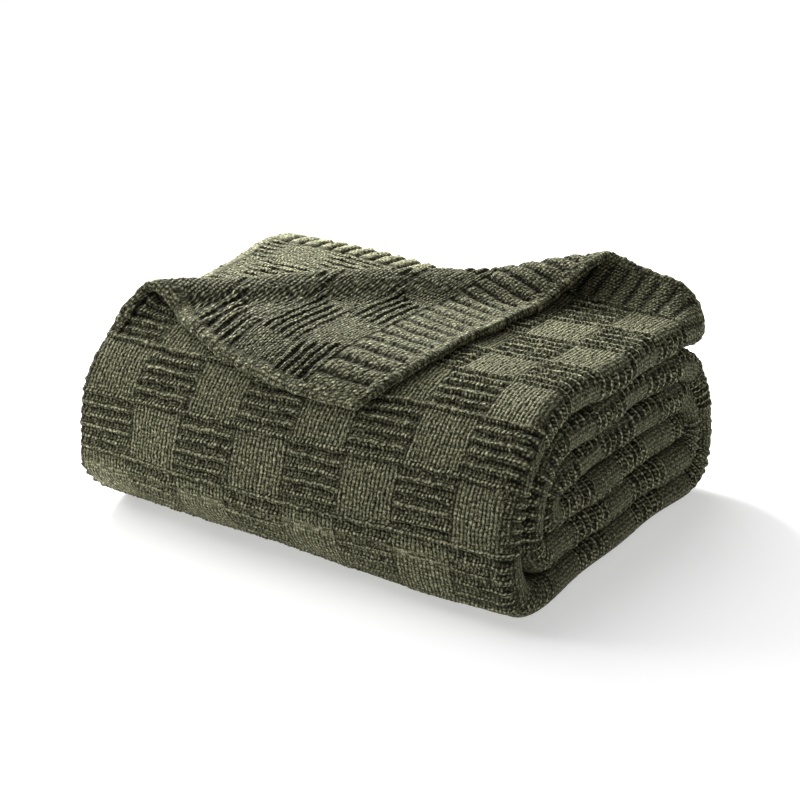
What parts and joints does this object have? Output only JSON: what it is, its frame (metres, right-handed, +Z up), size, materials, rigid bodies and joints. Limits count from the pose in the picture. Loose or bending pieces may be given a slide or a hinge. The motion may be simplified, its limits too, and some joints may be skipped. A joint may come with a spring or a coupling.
{
  "type": "chenille knit throw",
  "caption": "Chenille knit throw in a basket weave, folded in plies and rolled flat, with one corner of its outer ply turned back.",
  "frame": {"origin": "centre of the bounding box in plan, on the surface that the throw lies on", "axes": "+X along the roll toward its folded end, +Y from the smooth front turn toward the open back edge, +Z up"},
  "size_m": [0.3244, 0.2812, 0.153],
  "materials": {
    "knit_throw": "matte chenille knit"
  },
  "bodies": {
    "root": {"knit_throw": "knit_throw"}
  },
  "joints": []
}
